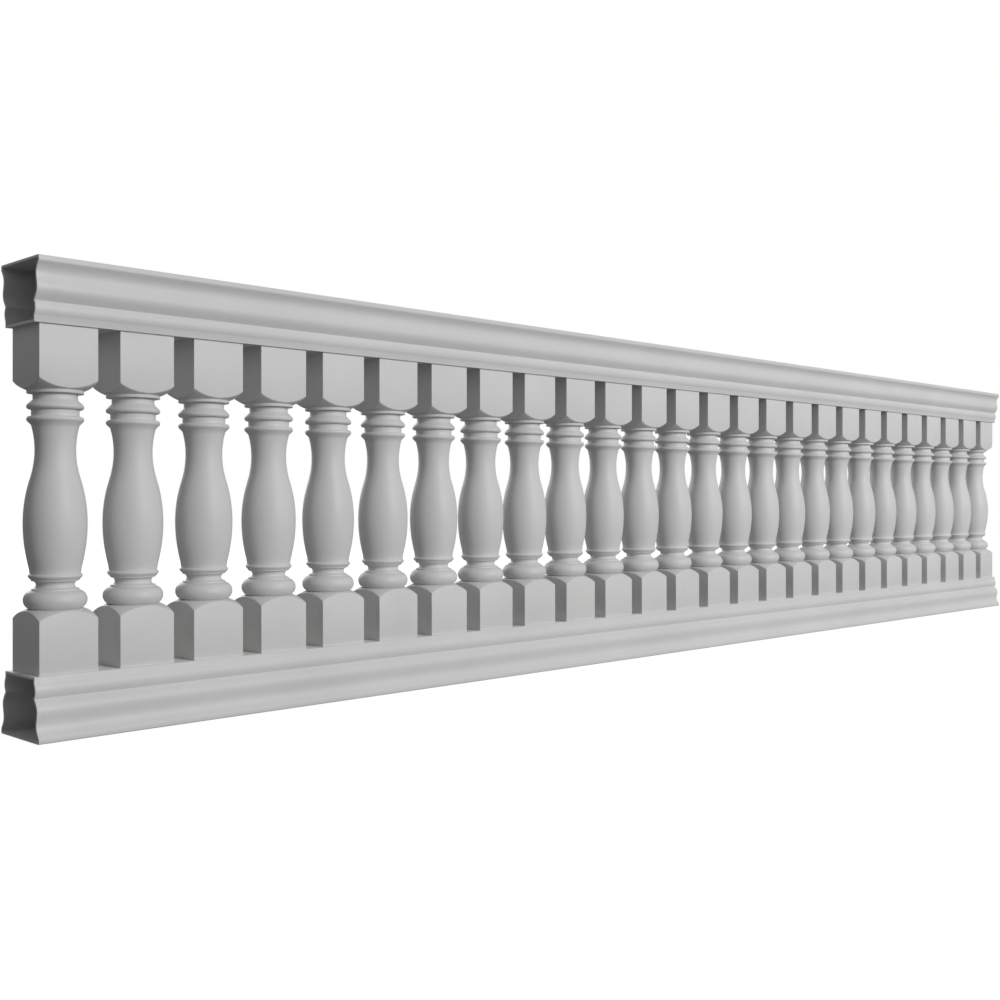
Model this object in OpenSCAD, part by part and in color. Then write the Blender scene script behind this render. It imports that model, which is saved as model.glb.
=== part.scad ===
// Fiberglass balustrade section: a hollow moulded top rail, the same rail turned over
// as the bottom rail, and a row of like turned balusters with square blocks between them.
// Origin at the middle of the underside, X along the rails, Z up, millimetres.

/* [Overall] */
// Length of both rails
rail_length = 4572; // [3800:1:5500]
// Number of balusters in the section
baluster_count = 26; // [2:1:31]
// Height of one baluster, block end to block end
baluster_height = 715; // [580:1:900]
// Side of the baluster's square blocks
block_side = 127; // [100:1:152]
// From each end of the rails to the first block
end_margin = 12.5; // [2:0.5:60]

/* [Rail walls] */
// Thickness of the moulded shell
rail_wall = 5; // [3:0.5:9]
// Thickness of the flat wall that the blocks bear on
bearing_wall = 6; // [3:0.5:10]

/* [Rail moulding, outer edge to bearing face] */
// How far the fillet stands out past the blocks
fillet_overhang = 26; // [22:0.5:40]
// Height of the flat fillet with its rounded corner
fillet_height = 11; // [9:0.5:24]
// Radius of the fillet's outer corner
corner_radius = 3.5; // [1:0.5:6]
// Overhang at the bottom of the cove
cove_overhang = 14.5; // [12:0.5:17]
// Height of the cove under the fillet
cove_height = 25; // [12:0.5:30]
// Overhang at the fullest point of the swell
swell_overhang = 18.5; // [17.5:0.5:21]
// Height from the bottom of the cove to the fullest point
swell_height = 27; // [16:0.5:40]
// Height from the fullest point in to the crease
ovolo_height = 26; // [18:0.5:44]
// Overhang of the crease and of the fascia
fascia_overhang = 5.5; // [2:0.5:10]
// Height of the bead
bead_height = 30; // [14:0.5:40]
// How far the bead stands out from the fascia
bead_bulge = 4.8; // [2:0.5:7]
// Height of the plain fascia above the bearing face
fascia_height = 13.5; // [11:0.5:24]

/* [Baluster blocks] */
// Height of each square block up to its rounded shoulder
block_height = 110; // [70:0.5:150]
// Rise of the rounded shoulder
shoulder_rise = 20.5; // [12:0.5:26]
// Radius at which the shoulder ends
shoulder_radius = 57; // [56:0.5:60]
// How far the shoulder's curve stands out from a straight slope
shoulder_bulge = 1.8; // [1:0.1:4]

/* [Baluster foot mouldings] */
// Largest radius of the torus on the lower block
torus_radius = 64; // [56:0.5:70]
// Radius of the torus roll itself
torus_roll = 20.5; // [18:0.5:21]
// Smallest radius of the scotia above the torus
scotia_radius = 38.5; // [34:0.5:42]
// Height of the scotia's hollow
scotia_height = 16.5; // [12:0.5:22]
// Radius of the two plain bands that edge the scotia
band_radius = 48; // [46:0.5:50]
// Height of the band under the scotia
band_height = 3; // [2:0.5:6]
// Height of the band above the scotia
lip_height = 2; // [1:0.5:6]
// Largest radius of the small ring under the vase
ring_radius = 54.3; // [52:0.1:56]
// Radius of the small ring's nose
ring_nose = 4.5; // [3:0.5:6]

/* [Baluster vase] */
// Radius of the vase at its foot
vase_foot_radius = 49; // [48:0.5:51]
// Largest radius of the vase
belly_radius = 64; // [54:0.5:70]
// Smallest radius of the neck
neck_radius = 41; // [34:0.5:45]
// Radius of the neck where it meets the collar
vase_top_radius = 48; // [46:0.5:50]

/* [Baluster collar] */
// Largest radius of the two collar rings
collar_radius = 57.3; // [55:0.1:59]
// Radius of the nose of each collar ring
collar_nose = 6; // [4:0.5:7]
// Radius of the groove between the collar rings
groove_radius = 48; // [44:0.5:50]
// Height of that groove
groove_height = 14.4; // [6:0.1:18]
// Radius of the plain throat above the collar
throat_radius = 45; // [42:0.5:46]
// Height of that throat
throat_height = 12.5; // [8:0.5:16]
// Radius of the disc under the top block
disc_radius = 57; // [52:0.5:57]
// Thickness of that disc
disc_height = 6.5; // [4:0.5:14]

/* [Hidden] */
$fn = 96;
// Below 1, the cove falls away quickly under the fillet and then runs long and shallow
cove_skew = 0.6;
finish = [0.84, 0.84, 0.83];

// Where the belly and the neck lie along the vase's own length
belly_share = 0.342;
neck_share = 0.835;
// Share of the belly-to-neck stretch that is convex
convex_share = 0.61;
// How far the turning reaches into the blocks at its two ends
core_depth = 5;
// How far the torus roll beds into the shoulder under it
torus_bed = 2;

rail_height = fillet_height + cove_height + swell_height + ovolo_height + bead_height + fascia_height;
total_height = baluster_height + 2 * rail_height;
block_half = block_side / 2;
pitch = (rail_length - 2 * end_margin - block_side) / (baluster_count - 1);

function two_digits(number) = str(number < 10 ? "0" : "", number);
function baluster_name(number) = str("baluster_", two_digits(number));

function reversed(points) = [for (i = [len(points) - 1:-1:0]) points[i]];

// All the points but the first, for a curve that carries on from the one before it.
function onward(points) = [for (i = [1:len(points) - 1]) points[i]];

// Points on an elliptical arc, from one angle to another.
function arc(centre, radii, from, to, steps) =
    [for (i = [0:steps])
        let (a = from + (to - from) * i / steps)
        [centre.x + radii.x * cos(a), centre.y + radii.y * sin(a)]];

// ---- Rails ----

// The moulded side from the fillet's lower edge to the bead's lower edge, as points of
// [overhang past the block, depth below the rail's outer face].
function moulded_side() =
    let (cove_top = fillet_height)
    let (cove_bottom = cove_top + cove_height)
    let (fullest = cove_bottom + swell_height)
    let (crease = fullest + ovolo_height)
    let (rise = swell_overhang - cove_overhang)
    let (fall = swell_overhang - fascia_overhang)
    let (bead_curve = (pow(bead_height / 2, 2) + pow(bead_bulge, 2)) / (2 * bead_bulge))
    let (bead_angle = asin(bead_height / 2 / bead_curve))
    let (bead_centre = [fascia_overhang + bead_bulge - bead_curve, crease + bead_height / 2])
    concat(
        [for (i = [0:12])
            [cove_overhang + (fillet_overhang - cove_overhang) * (1 + cos(180 * pow(i / 12, cove_skew))) / 2,
                cove_top + cove_height * i / 12]],
        [for (i = [1:9]) [cove_overhang + rise * (1 - cos(20 * i)) / 2, cove_bottom + swell_height * i / 9]],
        [for (i = [1:9]) [fascia_overhang + fall * cos(10 * i), fullest + ovolo_height * i / 9]],
        onward(arc(bead_centre, [bead_curve, bead_curve], -bead_angle, bead_angle, 10))
    );

// One side of the rail's outer face, as [half width, depth].
function outer_side() =
    let (corner = [fillet_overhang - corner_radius, corner_radius])
    [for (p = concat(
        arc(corner, [corner_radius, corner_radius], 270, 360, 5),
        moulded_side(),
        [[fascia_overhang, rail_height]]))
        [block_half + p.x, p.y]];

// One side of the hollow, which follows the outer face.
function inner_side() =
    [for (p = concat(
        [[fillet_overhang, rail_wall]],
        moulded_side(),
        [[fascia_overhang, rail_height - bearing_wall]]))
        [block_half + p.x - rail_wall, p.y]];

function both_sides(side) =
    let (last = len(side) - 1)
    concat(side, [for (i = [last:-1:0]) [-side[i].x, side[i].y]]);

// A rail with its outer face down on the floor.
module rail() {
    color(finish)
        rotate([90, 0, 90])
            linear_extrude(rail_length, center = true)
                difference() {
                    polygon(both_sides(outer_side()));
                    polygon(both_sides(inner_side()));
                }
}

module bottom_rail() {
    rail();
}

module top_rail() {
    translate([0, 0, total_height])
        mirror([0, 0, 1])
            rail();
}

// ---- Balusters ----

// Half the block's diagonal: the shoulder's curve starts at the block's corners.
corner_reach = block_half * sqrt(2);

// An arc through two points that stands out from its chord by the bulge, which lies on the
// right-hand side of the way from the first point to the second.
function bulged(start, end, bulge, steps) =
    let (chord = norm(end - start))
    let (size = (chord * chord / 4 + bulge * bulge) / (2 * bulge))
    let (along = (end - start) / chord)
    let (out = [along.y, -along.x])
    let (centre = (start + end) / 2 + out * (bulge - size))
    let (half_angle = asin(chord / 2 / size))
    [for (i = [0:steps])
        let (a = half_angle * (2 * i / steps - 1))
        centre + size * (out * cos(a) + along * sin(a))];

// The shoulder's curve from the block's corners in to its flat top, as [radius, height].
function shoulder_curve() =
    bulged([corner_reach, block_height], [shoulder_radius, block_height + shoulder_rise], shoulder_bulge, 12);

// A square block whose corners are rounded over into the turning above it.
module shouldered_block() {
    intersection() {
        translate([-block_half, -block_half, 0])
            cube([block_side, block_side, block_height + shoulder_rise]);
        rotate_extrude()
            polygon(concat(
                [[0, 0], [corner_reach + 1, 0], [corner_reach + 1, block_height]],
                shoulder_curve(),
                [[0, block_height + shoulder_rise]]));
    }
}

// Upright reach of a roll from its fullest point to where its radius is down to the given one.
function roll_reach(fullest, size, radius) = sqrt(size * size - pow(radius - fullest + size, 2));

// Upright reach of a ring's nose and the 45 degree slope that runs from it to the given radius.
function slope_reach(fullest, size, radius) = fullest - size + size * sqrt(2) - radius;

// Heights of the turned mouldings, each from the one before it, from the foot up to the vase.
turning_foot = block_height + shoulder_rise;
torus_centre = turning_foot + torus_roll - torus_bed;
torus_top = torus_centre + roll_reach(torus_radius, torus_roll, band_radius);
scotia_centre = torus_top + band_height + scotia_height / 2;
ring_foot = scotia_centre + scotia_height / 2 + lip_height;
ring_centre = ring_foot + slope_reach(ring_radius, ring_nose, band_radius);
vase_foot = ring_centre + roll_reach(ring_radius, ring_nose, vase_foot_radius);

// And from the upper block down to the vase.
turning_top = baluster_height - block_height - shoulder_rise;
disc_foot = turning_top - disc_height;
throat_foot = disc_foot - throat_height;
upper_collar = throat_foot - slope_reach(collar_radius, collar_nose, throat_radius);
lower_collar = upper_collar - 2 * collar_nose - groove_height;
vase_top = lower_collar - slope_reach(collar_radius, collar_nose, vase_top_radius);

vase_length = vase_top - vase_foot;
belly_height = vase_foot + vase_length * belly_share;
neck_height = vase_foot + vase_length * neck_share;

// A roll that stands out to a radius, between two angles from its fullest point.
function roll(fullest, size, height, from, to) =
    arc([fullest - size, height], [size, size], from, to, 12);

// A shallow curve between two heights that is upright at the first of them, and leaves that
// radius by the given amount, outward when the amount is positive.
function bow(radius, from, to, change, steps) =
    let (span = abs(to - from))
    let (curve = (span * span + change * change) / (2 * abs(change)))
    let (way = change > 0 ? 1 : -1)
    [for (i = [0:steps])
        let (z = span * i / steps)
        [radius + way * (curve - sqrt(curve * curve - z * z)), from + (to - from) * i / steps]];

// The vase: swelling from its foot to the belly, then in to the neck and out to the collar.
function vase_curve() =
    let (turn_height = belly_height + (neck_height - belly_height) * convex_share)
    let (turn_radius = belly_radius - (belly_radius - neck_radius) * convex_share)
    concat(
        reversed(bow(belly_radius, belly_height, vase_foot, vase_foot_radius - belly_radius, 10)),
        onward(bow(belly_radius, belly_height, turn_height, turn_radius - belly_radius, 10)),
        onward(reversed(bow(neck_radius, neck_height, turn_height, turn_radius - neck_radius, 8))),
        onward(bow(neck_radius, neck_height, vase_top, vase_top_radius - neck_radius, 8))
    );

// The scotia: a hollow between two plain bands.
function scotia_curve() =
    arc([band_radius, scotia_centre], [band_radius - scotia_radius, scotia_height / 2], 270, 90, 14);

module turning() {
    torus_core = torus_radius - torus_roll;
    torus_end = asin((torus_top - torus_centre) / torus_roll);
    ring_end = asin((vase_foot - ring_centre) / ring_nose);
    rotate_extrude()
        polygon(concat(
            [[0, turning_foot - core_depth], [torus_core, turning_foot - core_depth]],
            roll(torus_radius, torus_roll, torus_centre, -90, torus_end),
            scotia_curve(),
            [[band_radius, ring_foot]],
            roll(ring_radius, ring_nose, ring_centre, -45, ring_end),
            onward(vase_curve()),
            roll(collar_radius, collar_nose, lower_collar, -45, 90),
            [[groove_radius, lower_collar + collar_nose], [groove_radius, upper_collar - collar_nose]],
            roll(collar_radius, collar_nose, upper_collar, -90, 45),
            [[throat_radius, throat_foot], [throat_radius, disc_foot]],
            [[disc_radius, disc_foot], [disc_radius, turning_top + core_depth], [0, turning_top + core_depth]]));
}

// One baluster, standing at its place in the row.
module baluster(number) {
    translate([(number - (baluster_count + 1) / 2) * pitch, 0, rail_height])
        color(finish)
            union() {
                shouldered_block();
                turning();
                translate([0, 0, baluster_height])
                    mirror([0, 0, 1])
                        shouldered_block();
            }
}

top_rail();
bottom_rail();
for (i = [1:baluster_count])
    baluster(i);
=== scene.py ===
import math

import bpy
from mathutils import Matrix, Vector


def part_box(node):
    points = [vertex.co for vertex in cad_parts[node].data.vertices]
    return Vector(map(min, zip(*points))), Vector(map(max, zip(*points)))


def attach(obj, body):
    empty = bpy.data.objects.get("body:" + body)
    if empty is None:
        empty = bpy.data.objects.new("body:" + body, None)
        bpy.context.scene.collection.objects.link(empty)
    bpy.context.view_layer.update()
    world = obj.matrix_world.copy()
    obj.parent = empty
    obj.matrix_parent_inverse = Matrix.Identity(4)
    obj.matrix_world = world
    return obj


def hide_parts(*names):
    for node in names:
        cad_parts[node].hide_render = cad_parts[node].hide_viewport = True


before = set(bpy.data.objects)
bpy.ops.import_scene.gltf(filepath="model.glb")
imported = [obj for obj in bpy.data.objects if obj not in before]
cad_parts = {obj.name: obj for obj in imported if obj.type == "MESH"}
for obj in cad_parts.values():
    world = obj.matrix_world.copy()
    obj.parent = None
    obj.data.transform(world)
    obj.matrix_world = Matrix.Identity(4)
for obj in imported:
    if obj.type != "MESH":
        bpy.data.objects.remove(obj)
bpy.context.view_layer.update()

# ---- Camera ----
# It stands level at the balustrade's mid-height, off its near left end, and looks at 45 degrees
# to the rails, so uprights stay upright and the rails run off to the right.
camera_place = (-3.367, -2.468, 0.489)
camera_heading = -45.04
bpy.ops.object.select_all(action="DESELECT")
bpy.ops.object.camera_add(location=camera_place,
                          rotation=(math.radians(90), 0, math.radians(camera_heading)))
camera = bpy.context.object
camera.name = "camera"
camera.data.lens = 44.16
camera.data.sensor_width = 36.0
camera.data.clip_end = 200
bpy.context.scene.camera = camera
bpy.context.scene.view_settings.view_transform = "Standard"


# ---- Studio: floor, surround and lamps ----
# A plain pale floor under an even pale surround. One broad soft lamp to the front does most of
# the lighting, so the left-hand faces fall into soft shade, and a weaker one lights the back.
floor_tone = 0.22
floor_glow_to_camera = 0.94
fill_strength = 0.235
lamp_width = 5.0
key_power = 1400
back_power = 300


def new_material(name):
    material = bpy.data.materials.new(name)
    material.use_nodes = True
    material.node_tree.nodes.clear()
    return material, material.node_tree.nodes, material.node_tree.links


def add_node(nodes, kind, settings=None, values=None):
    node = nodes.new(kind)
    for key, value in (settings or {}).items():
        setattr(node, key, value)
    for key, value in (values or {}).items():
        node.inputs[key].default_value = value
    return node


bpy.ops.mesh.primitive_grid_add(x_subdivisions=8, y_subdivisions=8, size=60,
                                location=(0, 0, -0.001))
floor = bpy.context.object
floor.name = "studio_floor"
floor_paint, nodes, links = new_material("studio_floor_paint")
floor_matte = add_node(nodes, "ShaderNodeBsdfDiffuse",
                       values={"Color": (floor_tone, floor_tone, floor_tone, 1)})
floor_glow = add_node(nodes, "ShaderNodeEmission", values={"Color": (1, 1, 1, 1)})
floor_path = add_node(nodes, "ShaderNodeLightPath")
floor_lift = add_node(nodes, "ShaderNodeMath", {"operation": "MULTIPLY"}, {1: floor_glow_to_camera})
floor_mix = add_node(nodes, "ShaderNodeAddShader")
floor_out = add_node(nodes, "ShaderNodeOutputMaterial")
links.new(floor_path.outputs["Is Camera Ray"], floor_lift.inputs[0])
links.new(floor_lift.outputs[0], floor_glow.inputs["Strength"])
links.new(floor_matte.outputs[0], floor_mix.inputs[0])
links.new(floor_glow.outputs[0], floor_mix.inputs[1])
links.new(floor_mix.outputs[0], floor_out.inputs["Surface"])
floor.data.materials.append(floor_paint)

surround = bpy.data.worlds.new("studio_surround")
bpy.context.scene.world = surround
surround.use_nodes = True
nodes, links = surround.node_tree.nodes, surround.node_tree.links
nodes.clear()
soft_fill = add_node(nodes, "ShaderNodeBackground",
                     values={"Color": (1, 1, 1, 1), "Strength": fill_strength})
white_back = add_node(nodes, "ShaderNodeBackground",
                      values={"Color": (1, 1, 1, 1), "Strength": 1.0})
sky_path = add_node(nodes, "ShaderNodeLightPath")
sky_mix = add_node(nodes, "ShaderNodeMixShader")
sky_out = add_node(nodes, "ShaderNodeOutputWorld")
links.new(sky_path.outputs["Is Camera Ray"], sky_mix.inputs[0])
links.new(soft_fill.outputs[0], sky_mix.inputs[1])
links.new(white_back.outputs[0], sky_mix.inputs[2])
links.new(sky_mix.outputs[0], sky_out.inputs["Surface"])


def soft_lamp(name, place, aim, power):
    bpy.ops.object.light_add(type="AREA", location=place)
    lamp = bpy.context.object
    lamp.name = name
    lamp.rotation_euler = (Vector(aim) - Vector(place)).to_track_quat("-Z", "Y").to_euler()
    lamp.data.energy = power
    lamp.data.shape = "DISK"
    lamp.data.size = lamp_width


soft_lamp("key_lamp", place=(1.0, -13.0, 4.6), aim=(9.0, 0, 0.5), power=key_power)
soft_lamp("back_lamp", place=(0.5, 9.0, 3.6), aim=(0, 0, 0.5), power=back_power)


# ---- Surface effects of moulded fiberglass ----
# Gelcoat sprayed into a mould: nearly even in tone with faint clouding, a fine orange peel, a
# little dust where it faces up, edges rubbed a shade lighter, and painted shade darkening hollows.
def gelcoat_group():
    group = bpy.data.node_groups.new("gelcoat_skin", "ShaderNodeTree")
    sockets = group.interface
    for name, kind, default in (("Tone", "NodeSocketColor", (0.6, 0.6, 0.6, 1)),
                                ("Clouding", "NodeSocketFloat", 0.04),
                                ("Edge Rub And Hollow Shade", "NodeSocketFloat", 0.1),
                                ("Dust", "NodeSocketFloat", 0.05),
                                ("Gloss Roughness", "NodeSocketFloat", 0.45)):
        sockets.new_socket(name=name, in_out="INPUT", socket_type=kind).default_value = default
    sockets.new_socket(name="Color", in_out="OUTPUT", socket_type="NodeSocketColor")
    sockets.new_socket(name="Roughness", in_out="OUTPUT", socket_type="NodeSocketFloat")
    sockets.new_socket(name="Height", in_out="OUTPUT", socket_type="NodeSocketFloat")
    n, k = group.nodes, group.links
    enter = add_node(n, "NodeGroupInput")
    leave = add_node(n, "NodeGroupOutput")
    place = add_node(n, "ShaderNodeTexCoord")
    surface = add_node(n, "ShaderNodeNewGeometry")

    def noise(scale, detail, roughness):
        made = add_node(n, "ShaderNodeTexNoise",
                        values={"Scale": scale, "Detail": detail, "Roughness": roughness})
        k.new(place.outputs["Object"], made.inputs["Vector"])
        return made.outputs["Fac"]

    def maths(operation, first, second, clamp=False):
        made = add_node(n, "ShaderNodeMath", {"operation": operation, "use_clamp": clamp})
        for socket, value in zip(made.inputs, (first, second)):
            if isinstance(value, (int, float)):
                socket.default_value = value
            else:
                k.new(value, socket)
        return made.outputs[0]

    def spread(value, low, high, to_low, to_high):
        made = add_node(n, "ShaderNodeMapRange", values={"From Min": low, "From Max": high,
                                                         "To Min": to_low, "To Max": to_high})
        k.new(value, made.inputs["Value"])
        return made.outputs["Result"]

    clouds = noise(scale=5.0, detail=4.0, roughness=0.55)
    speckle = noise(scale=260.0, detail=3.0, roughness=0.6)
    peel = noise(scale=420.0, detail=2.0, roughness=0.5)
    ripple = noise(scale=38.0, detail=2.0, roughness=0.5)

    # Tone: clouding and speckle around 1, rubbed edges above it, painted shade in hollows below it.
    cloud_shift = maths("MULTIPLY", spread(clouds, 0.3, 0.7, -1.0, 1.0), enter.outputs["Clouding"])
    speckle_shift = maths("MULTIPLY", spread(speckle, 0.3, 0.7, -0.35, 0.35),
                          enter.outputs["Clouding"])
    ridge = spread(surface.outputs["Pointiness"], 0.52, 0.60, 0.0, 1.0)
    ridge_worn = maths("MULTIPLY", ridge, spread(ripple, 0.35, 0.65, 0.3, 1.0))
    ridge_shift = maths("MULTIPLY", ridge_worn, enter.outputs["Edge Rub And Hollow Shade"])
    # Painted shade: hollows are darkened by 0.7 of the edge-rub amount.
    hollow = spread(surface.outputs["Pointiness"], 0.48, 0.40, 0.0, 1.0)
    painted_hollow_shade = maths("MULTIPLY", hollow, maths("MULTIPLY", enter.outputs["Edge Rub And Hollow Shade"], -0.7))
    split = add_node(n, "ShaderNodeSeparateXYZ")
    k.new(surface.outputs["Normal"], split.inputs[0])
    facing_up = spread(split.outputs["Z"], 0.35, 0.95, 0.0, 1.0)
    settled = maths("MULTIPLY", facing_up, spread(clouds, 0.4, 0.6, 0.2, 1.0))
    dust_shift = maths("MULTIPLY", settled, maths("MULTIPLY", enter.outputs["Dust"], -1.0))
    shift = maths("ADD", maths("ADD", cloud_shift, speckle_shift),
                  maths("ADD", ridge_shift, painted_hollow_shade))
    level = maths("ADD", maths("ADD", shift, dust_shift), 1.0)
    tint = add_node(n, "ShaderNodeVectorMath", {"operation": "SCALE"})
    k.new(enter.outputs["Tone"], tint.inputs[0])
    k.new(level, tint.inputs["Scale"])
    k.new(tint.outputs["Vector"], leave.inputs["Color"])

    # Gloss: dust dulls it and rubbing polishes it a little.
    rough = maths("ADD", enter.outputs["Gloss Roughness"], spread(clouds, 0.3, 0.7, -0.05, 0.05))
    rough = maths("ADD", rough, maths("MULTIPLY", settled, enter.outputs["Dust"]))
    rough = maths("SUBTRACT", rough, maths("MULTIPLY", ridge_worn, 0.06), clamp=True)
    k.new(rough, leave.inputs["Roughness"])
    k.new(maths("ADD", maths("MULTIPLY", peel, 0.3), ripple), leave.inputs["Height"])
    return group


gelcoat = gelcoat_group()
gelcoat_tone = (0.72, 0.72, 0.715)


def gelcoat_material(name, edge_rub_and_hollow_shade, roughness):
    material, nodes, links = new_material(name)
    # The edge-rub amount lightens edges as wear and also darkens hollows as painted shade.
    skin = add_node(nodes, "ShaderNodeGroup", {"node_tree": gelcoat},
                    {"Tone": (*gelcoat_tone, 1), "Clouding": 0.025, "Edge Rub And Hollow Shade": edge_rub_and_hollow_shade,
                     "Dust": 0.03, "Gloss Roughness": roughness})
    relief = add_node(nodes, "ShaderNodeBump", values={"Strength": 0.25, "Distance": 0.0004})
    shader = add_node(nodes, "ShaderNodeBsdfPrincipled",
                      values={"IOR": 1.5, "Specular IOR Level": 0.35})
    out = add_node(nodes, "ShaderNodeOutputMaterial")
    links.new(skin.outputs["Color"], shader.inputs["Base Color"])
    links.new(skin.outputs["Roughness"], shader.inputs["Roughness"])
    links.new(skin.outputs["Height"], relief.inputs["Height"])
    links.new(relief.outputs["Normal"], shader.inputs["Normal"])
    links.new(shader.outputs[0], out.inputs["Surface"])
    return material


# ---- Rails ----
# Each rail is one hollow moulding of fiberglass laminate, open at both ends: fillet, cove, swell,
# ovolo, bead and fascia on each side. The bottom rail is the top rail turned over.
rail_low, rail_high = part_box("bottom_rail")
rail_length = rail_high.x - rail_low.x
rail_height = rail_high.z - rail_low.z
rail_half = rail_high.y
block_half = 0.0635
rail_wall = 0.005
rail_stations = 52
fillet_overhang = rail_half - block_half
fillet_height = 0.011
corner_radius = 0.0035
cove_overhang = 0.0145
cove_height = 0.025
cove_skew = 0.6
swell_overhang = 0.0185
swell_height = 0.027
ovolo_height = 0.026
fascia_overhang = 0.0055
bead_height = 0.030
bead_bulge = 0.0048
arris_ease = 0.0006
on_line = 1e-5


def arc_points(centre, radii, start, end, steps):
    """Points on an elliptical arc between two angles in degrees."""
    angles = [math.radians(start + (end - start) * i / steps) for i in range(steps + 1)]
    return [(centre[0] + radii[0] * math.cos(a), centre[1] + radii[1] * math.sin(a))
            for a in angles]


def rail_side():
    """The moulded side as (half width, height above the outer face), outer corner first."""
    cove_bottom = fillet_height + cove_height
    fullest = cove_bottom + swell_height
    crease = fullest + ovolo_height
    curve = ((bead_height / 2) ** 2 + bead_bulge ** 2) / (2 * bead_bulge)
    swing = math.degrees(math.asin(bead_height / 2 / curve))
    points = [(fillet_overhang, 0.0)]
    for i in range(13):
        fall = (1 + math.cos(math.pi * (i / 12) ** cove_skew)) / 2
        points.append((cove_overhang + (fillet_overhang - cove_overhang) * fall,
                       fillet_height + cove_height * i / 12))
    for i in range(1, 10):
        rise = (1 - math.cos(math.radians(20 * i))) / 2
        points.append((cove_overhang + (swell_overhang - cove_overhang) * rise,
                       cove_bottom + swell_height * i / 9))
    for i in range(1, 10):
        fall = math.cos(math.radians(10 * i))
        points.append((fascia_overhang + (swell_overhang - fascia_overhang) * fall,
                       fullest + ovolo_height * i / 9))
    bead_centre = (fascia_overhang + bead_bulge - curve, crease + bead_height / 2)
    points += arc_points(bead_centre, (curve, curve), -swing, swing, 10)[1:]
    points.append((fascia_overhang, rail_height))
    return [(block_half + x, z) for x, z in points]


def edges_where(piece, test):
    """Selects the edges whose two ends both pass the test, in edit mode's edge select."""
    bpy.ops.object.mode_set(mode="OBJECT")
    mesh = piece.data
    for part in (mesh.vertices, mesh.edges, mesh.polygons):
        part.foreach_set("select", [False] * len(part))
    for edge in mesh.edges:
        edge.select = all(test(mesh.vertices[v].co) for v in edge.vertices)
    bpy.ops.object.mode_set(mode="EDIT")
    bpy.ops.mesh.select_mode(type="EDGE")


def apply_modifier(piece, name, kind, **settings):
    modifier = piece.modifiers.new(name, kind)
    for key, value in settings.items():
        setattr(modifier, key, value)
    bpy.context.view_layer.objects.active = piece
    bpy.ops.object.modifier_apply(modifier=modifier.name)


def make_rail():
    """The bottom rail: its outer face lies on the floor and its bearing face is on top."""
    side = rail_side()
    start_half = side[0][0]
    bpy.ops.object.select_all(action="DESELECT")
    bpy.ops.mesh.primitive_grid_add(x_subdivisions=rail_stations, y_subdivisions=1, size=1,
                                    location=(0, 0, 0))
    rail = bpy.context.object
    bpy.ops.object.mode_set(mode="EDIT")
    bpy.ops.mesh.select_all(action="SELECT")
    bpy.ops.transform.resize(value=(rail_length, start_half, 1), center_override=(0, 0, 0))
    bpy.ops.transform.translate(value=(0, start_half / 2, 0))
    edges_where(rail, lambda p: abs(p.y - start_half) < on_line)
    for (x0, z0), (x1, z1) in zip(side, side[1:] + [(0.0, rail_height)]):
        bpy.ops.mesh.extrude_edges_move(TRANSFORM_OT_translate={"value": (0, x1 - x0, z1 - z0)})
    bpy.ops.object.mode_set(mode="OBJECT")
    apply_modifier(rail, "other_side", "MIRROR", use_axis=(False, True, False),
                   merge_threshold=0.0002)
    bpy.ops.object.mode_set(mode="EDIT")
    bpy.ops.mesh.select_all(action="SELECT")
    bpy.ops.mesh.normals_make_consistent(inside=False)
    bpy.ops.object.mode_set(mode="OBJECT")
    apply_modifier(rail, "laminate_wall", "SOLIDIFY", thickness=rail_wall, offset=-1,
                   use_even_offset=True, use_rim=True, material_offset=1, material_offset_rim=0)
    edges_where(rail, lambda p: abs(abs(p.y) - start_half) < on_line and abs(p.z) < on_line)
    bpy.ops.mesh.bevel(offset=corner_radius, segments=5, affect="EDGES")
    arrises = ((rail_half, fillet_height), (block_half + fascia_overhang, rail_height))
    near = 10 * on_line
    edges_where(rail, lambda p: any(abs(abs(p.y) - y) < near and abs(p.z - z) < near
                                    for y, z in arrises))
    bpy.ops.mesh.bevel(offset=arris_ease, segments=2, affect="EDGES")
    bpy.ops.object.mode_set(mode="OBJECT")
    bpy.ops.object.shade_smooth_by_angle(angle=math.radians(36))
    return rail


rail_gelcoat = gelcoat_material("rail_gelcoat", edge_rub_and_hollow_shade=0.07, roughness=0.46)


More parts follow.
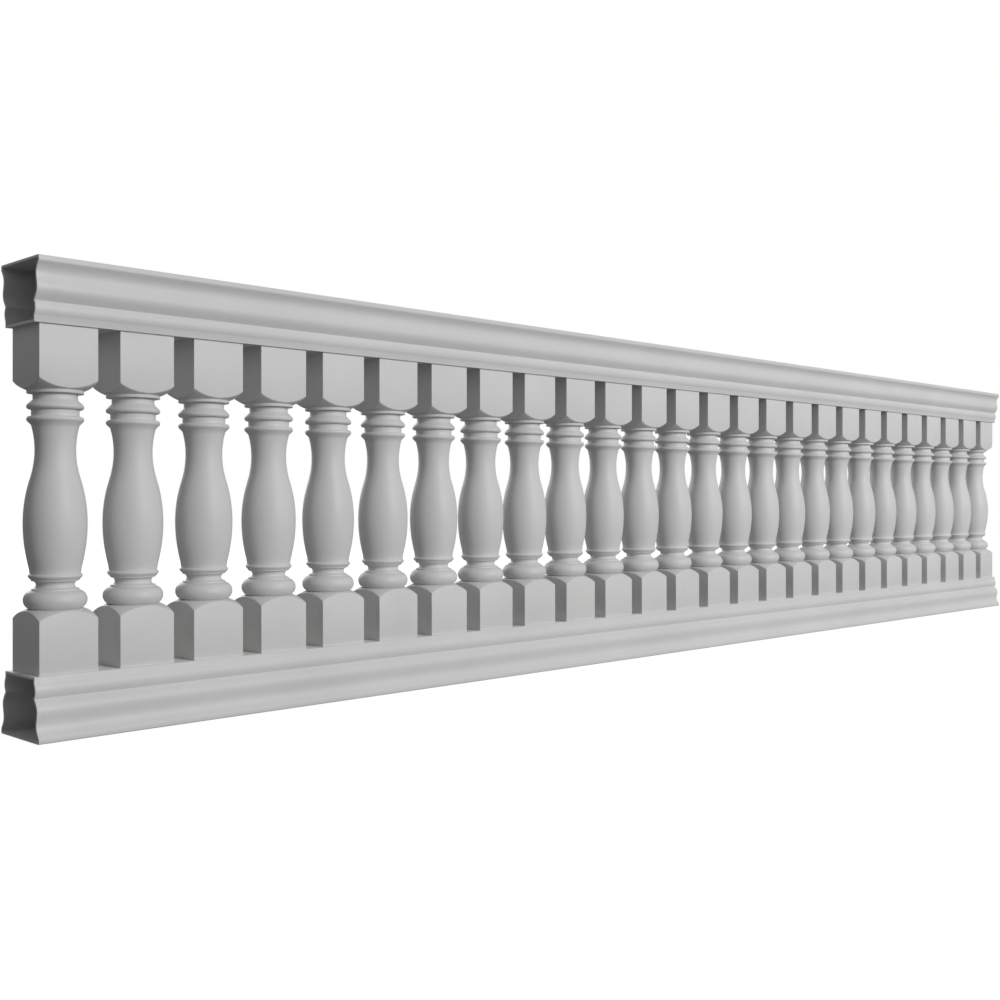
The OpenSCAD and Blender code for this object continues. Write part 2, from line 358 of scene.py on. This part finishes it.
def laminate_material():
    """Bare chopped-strand laminate inside a rail: greyer, rough, with short strands showing."""
    material, nodes, links = new_material("bare_laminate")
    place = add_node(nodes, "ShaderNodeTexCoord")
    strands = []
    for turn, scale in ((0.5, (35, 260, 260)), (1.9, (260, 35, 260)), (2.7, (260, 260, 35))):
        lay = add_node(nodes, "ShaderNodeMapping",
                       values={"Rotation": (turn, turn * 0.6, turn), "Scale": scale})
        strand = add_node(nodes, "ShaderNodeTexNoise",
                          values={"Scale": 1.0, "Detail": 2.0, "Roughness": 0.5})
        links.new(place.outputs["Object"], lay.inputs["Vector"])
        links.new(lay.outputs["Vector"], strand.inputs["Vector"])
        strands.append(strand.outputs["Fac"])
    first = add_node(nodes, "ShaderNodeMath", {"operation": "MAXIMUM"})
    both = add_node(nodes, "ShaderNodeMath", {"operation": "MAXIMUM"})
    links.new(strands[0], first.inputs[0])
    links.new(strands[1], first.inputs[1])
    links.new(first.outputs[0], both.inputs[0])
    links.new(strands[2], both.inputs[1])
    resin = add_node(nodes, "ShaderNodeValToRGB")
    resin_stop, strand_stop = resin.color_ramp.elements
    resin_stop.position, resin_stop.color = 0.48, (0.30, 0.30, 0.295, 1)
    strand_stop.position, strand_stop.color = 0.72, (0.46, 0.46, 0.45, 1)
    links.new(both.outputs[0], resin.inputs["Fac"])
    dullness = add_node(nodes, "ShaderNodeMapRange",
                        values={"From Min": 0.4, "From Max": 0.8, "To Min": 0.85, "To Max": 0.6})
    links.new(both.outputs[0], dullness.inputs["Value"])
    relief = add_node(nodes, "ShaderNodeBump", values={"Strength": 0.6, "Distance": 0.0008})
    links.new(both.outputs[0], relief.inputs["Height"])
    shader = add_node(nodes, "ShaderNodeBsdfPrincipled",
                      values={"IOR": 1.5, "Specular IOR Level": 0.25})
    out = add_node(nodes, "ShaderNodeOutputMaterial")
    links.new(resin.outputs["Color"], shader.inputs["Base Color"])
    links.new(dullness.outputs["Result"], shader.inputs["Roughness"])
    links.new(relief.outputs["Normal"], shader.inputs["Normal"])
    links.new(shader.outputs[0], out.inputs["Surface"])
    return material


bare_laminate = laminate_material()


def copy_of(piece, name):
    """A separate copy of a piece with its own mesh, left as the only thing selected."""
    bpy.ops.object.select_all(action="DESELECT")
    piece.select_set(True)
    bpy.context.view_layer.objects.active = piece
    bpy.ops.object.duplicate(linked=False)
    made = bpy.context.object
    made.name = name
    return made


bottom_rail = make_rail()
bottom_rail.name = "moulded_bottom_rail"
bottom_rail.data.materials.append(rail_gelcoat)
bottom_rail.data.materials.append(bare_laminate)
top_rail = copy_of(bottom_rail, "moulded_top_rail")
total_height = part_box("top_rail")[1].z
bpy.ops.object.mode_set(mode="EDIT")
bpy.ops.mesh.select_all(action="SELECT")
bpy.ops.transform.rotate(value=math.pi, orient_axis="X", center_override=(0, 0, total_height / 2))
bpy.ops.object.mode_set(mode="OBJECT")
for rail, node in ((bottom_rail, "bottom_rail"), (top_rail, "top_rail")):
    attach(rail, "root")
    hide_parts(node)


# ---- Balusters ----
# Each is a hollow fiberglass moulding with a square block at both ends, whose corners round over
# into the turning: torus, scotia, small ring, long vase, neck, two collar rings, hollow and disc.
baluster_low, baluster_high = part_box("baluster_01")
baluster_height = baluster_high.z - baluster_low.z
block_height = 0.110
shoulder_rise = 0.0205
shoulder_radius = 0.057
shoulder_bulge = 0.0018
torus_radius, torus_roll, torus_bed = 0.064, 0.0205, 0.002
band_radius, band_height, lip_height = 0.048, 0.003, 0.002
scotia_radius, scotia_height = 0.0385, 0.0165
ring_radius, ring_nose = 0.0543, 0.0045
vase_foot_radius, belly_radius, neck_radius, vase_top_radius = 0.049, 0.064, 0.041, 0.048
belly_share, neck_share, convex_share = 0.342, 0.835, 0.61
collar_radius, collar_nose = 0.0573, 0.006
groove_radius, groove_height = 0.048, 0.0144
throat_radius, throat_height = 0.045, 0.0125
disc_radius, disc_height = 0.057, 0.0065
core_depth = 0.005
around = 64
block_cells = 26
turning_ease = 0.0005
block_ease = 0.0008


def roll_reach(fullest, size, radius):
    """How far above its fullest point a roll is down to the given radius."""
    return math.sqrt(size ** 2 - (radius - fullest + size) ** 2)


def slope_reach(fullest, size, radius):
    """Height of a ring's nose and the 45 degree slope that runs from it to the given radius."""
    return fullest - size + size * math.sqrt(2) - radius


def roll(fullest, size, height, start, end):
    """A half-round of the given radius whose nose stands at the fullest radius."""
    return arc_points((fullest - size, height), (size, size), start, end, 10)


def bow(radius, start, end, change, steps):
    """A curve that is upright at its start and leaves that radius by the change."""
    span = abs(end - start)
    curve = (span ** 2 + change ** 2) / (2 * abs(change))
    way = 1 if change > 0 else -1
    points = []
    for i in range(steps + 1):
        z = span * i / steps
        points.append((radius + way * (curve - math.sqrt(curve ** 2 - z ** 2)),
                       start + (end - start) * i / steps))
    return points


def turning_side():
    """The turned part from the lower block up to the upper one, as (radius, height)."""
    foot = block_height + shoulder_rise
    torus_centre = foot + torus_roll - torus_bed
    torus_reach = roll_reach(torus_radius, torus_roll, band_radius)
    scotia_centre = torus_centre + torus_reach + band_height + scotia_height / 2
    ring_foot = scotia_centre + scotia_height / 2 + lip_height
    ring_centre = ring_foot + slope_reach(ring_radius, ring_nose, band_radius)
    ring_reach = roll_reach(ring_radius, ring_nose, vase_foot_radius)
    vase_foot = ring_centre + ring_reach
    top = baluster_height - foot
    disc_foot = top - disc_height
    throat_foot = disc_foot - throat_height
    upper_collar = throat_foot - slope_reach(collar_radius, collar_nose, throat_radius)
    lower_collar = upper_collar - 2 * collar_nose - groove_height
    vase_top = lower_collar - slope_reach(collar_radius, collar_nose, vase_top_radius)
    belly = vase_foot + (vase_top - vase_foot) * belly_share
    neck = vase_foot + (vase_top - vase_foot) * neck_share
    turn = belly + (neck - belly) * convex_share
    turn_radius = belly_radius - (belly_radius - neck_radius) * convex_share
    torus_end = math.degrees(math.asin(torus_reach / torus_roll))
    ring_end = math.degrees(math.asin(ring_reach / ring_nose))
    points = [(torus_radius - torus_roll, foot - core_depth)]
    points += roll(torus_radius, torus_roll, torus_centre, -90, torus_end)
    points += arc_points((band_radius, scotia_centre),
                         (band_radius - scotia_radius, scotia_height / 2), 270, 90, 10)
    points += [(band_radius, ring_foot)]
    points += roll(ring_radius, ring_nose, ring_centre, -45, ring_end)
    points += bow(belly_radius, belly, vase_foot, vase_foot_radius - belly_radius, 9)[::-1][1:]
    points += bow(belly_radius, belly, turn, turn_radius - belly_radius, 9)[1:]
    points += bow(neck_radius, neck, turn, turn_radius - neck_radius, 8)[::-1][1:]
    points += bow(neck_radius, neck, vase_top, vase_top_radius - neck_radius, 7)[1:]
    points += roll(collar_radius, collar_nose, lower_collar, -45, 90)
    points += [(groove_radius, lower_collar + collar_nose),
               (groove_radius, upper_collar - collar_nose)]
    points += roll(collar_radius, collar_nose, upper_collar, -90, 45)
    points += [(throat_radius, throat_foot), (throat_radius, disc_foot)]
    points += [(disc_radius, disc_foot), (disc_radius, top + core_depth)]
    return points


def raise_rings(side):
    """Turns a circle up through the given (radius, height) points, ring by ring."""
    bpy.ops.object.select_all(action="DESELECT")
    bpy.ops.mesh.primitive_circle_add(vertices=around, radius=side[0][0], location=(0, 0, 0),
                                      fill_type="NOTHING")
    piece = bpy.context.object
    bpy.ops.object.mode_set(mode="EDIT")
    bpy.ops.mesh.select_all(action="SELECT")
    bpy.ops.transform.translate(value=(0, 0, side[0][1]))
    for (r0, z0), (r1, z1) in zip(side, side[1:]):
        bpy.ops.mesh.extrude_edges_move(TRANSFORM_OT_translate={"value": (0, 0, z1 - z0)})
        bpy.ops.transform.resize(value=(r1 / r0, r1 / r0, 1), center_override=(0, 0, z1))
    bpy.ops.object.mode_set(mode="OBJECT")
    return piece


def close_and_face_out(piece):
    """Closes a piece's open ends and points every face outwards."""
    bpy.ops.object.mode_set(mode="EDIT")
    bpy.ops.mesh.select_mode(type="EDGE")
    bpy.ops.mesh.select_all(action="DESELECT")
    bpy.ops.mesh.select_non_manifold()
    bpy.ops.mesh.edge_face_add()
    bpy.ops.mesh.select_all(action="SELECT")
    bpy.ops.mesh.normals_make_consistent(inside=False)
    bpy.ops.object.mode_set(mode="OBJECT")


def make_turning():
    """The turned part alone, with its sharp edges eased as a mould leaves them."""
    turning = raise_rings(turning_side())
    close_and_face_out(turning)
    apply_modifier(turning, "eased_edges", "BEVEL", width=turning_ease, segments=2,
                   limit_method="ANGLE", angle_limit=math.radians(35))
    return turning


def make_block():
    """The lower block: a fine grid dropped on to the rounded shoulder, then drawn down square."""
    reach = block_half * math.sqrt(2)
    top = block_height + shoulder_rise
    width, rise = reach - shoulder_radius, shoulder_rise
    chord = math.hypot(width, rise)
    size = (chord ** 2 / 4 + shoulder_bulge ** 2) / (2 * shoulder_bulge)
    swing = math.degrees(math.asin(chord / 2 / size))
    tilt = math.degrees(math.atan2(width, rise))
    centre = ((reach + shoulder_radius) / 2 + (shoulder_bulge - size) * rise / chord,
              block_height + rise / 2 + (shoulder_bulge - size) * width / chord)
    shoulder = arc_points(centre, (size, size), tilt - swing, tilt + swing, 20)
    skirt = [(reach * 1.02, block_height - 0.001)]
    crown = [(0.04, top), (0.002, top)]
    dome = raise_rings(skirt + shoulder + crown)
    close_and_face_out(dome)
    bpy.ops.object.select_all(action="DESELECT")
    bpy.ops.mesh.primitive_grid_add(x_subdivisions=block_cells, y_subdivisions=block_cells,
                                    size=2 * block_half, location=(0, 0, block_height + 0.05))
    block = bpy.context.object
    bpy.ops.object.transform_apply(location=True, rotation=True, scale=True)
    apply_modifier(block, "shoulder", "SHRINKWRAP", target=dome, wrap_method="PROJECT",
                   use_project_z=True, use_negative_direction=True, use_positive_direction=True)
    bpy.data.objects.remove(dome)
    bpy.ops.object.mode_set(mode="EDIT")
    bpy.ops.mesh.select_mode(type="EDGE")
    bpy.ops.mesh.select_all(action="DESELECT")
    bpy.ops.mesh.select_non_manifold()
    bpy.ops.mesh.extrude_edges_move(TRANSFORM_OT_translate={"value": (0, 0, -block_height / 2)})
    bpy.ops.transform.resize(value=(1, 1, 0), center_override=(0, 0, 0))
    bpy.ops.object.mode_set(mode="OBJECT")
    close_and_face_out(block)
    apply_modifier(block, "eased_edges", "BEVEL", width=block_ease, segments=2,
                   limit_method="ANGLE", angle_limit=math.radians(30))
    return block


def make_baluster():
    """The lower block, the same block turned over on top, and the turning between them."""
    turning = make_turning()
    lower_block = make_block()
    upper_block = copy_of(lower_block, "upper_block")
    bpy.ops.object.mode_set(mode="EDIT")
    bpy.ops.mesh.select_all(action="SELECT")
    bpy.ops.transform.rotate(value=math.pi, orient_axis="X",
                             center_override=(0, 0, baluster_height / 2))
    bpy.ops.object.mode_set(mode="OBJECT")
    bpy.ops.object.select_all(action="DESELECT")
    for part in (lower_block, upper_block, turning):
        part.select_set(True)
    bpy.context.view_layer.objects.active = turning
    bpy.ops.object.join()
    bpy.ops.object.shade_smooth_by_angle(angle=math.radians(40))
    return turning


baluster_gelcoat = gelcoat_material("baluster_gelcoat", edge_rub_and_hollow_shade=0.08, roughness=0.5)
pattern_baluster = make_baluster()
pattern_baluster.data.materials.append(baluster_gelcoat)
baluster_nodes = sorted(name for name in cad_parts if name.startswith("baluster_"))
for node in baluster_nodes:
    low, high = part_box(node)
    baluster = copy_of(pattern_baluster, "moulded_" + node)
    bpy.ops.transform.translate(value=((low.x + high.x) / 2, 0, low.z))
    bpy.ops.object.transform_apply(location=True, rotation=True, scale=True)
    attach(baluster, "root")
    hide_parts(node)
bpy.data.objects.remove(pattern_baluster)
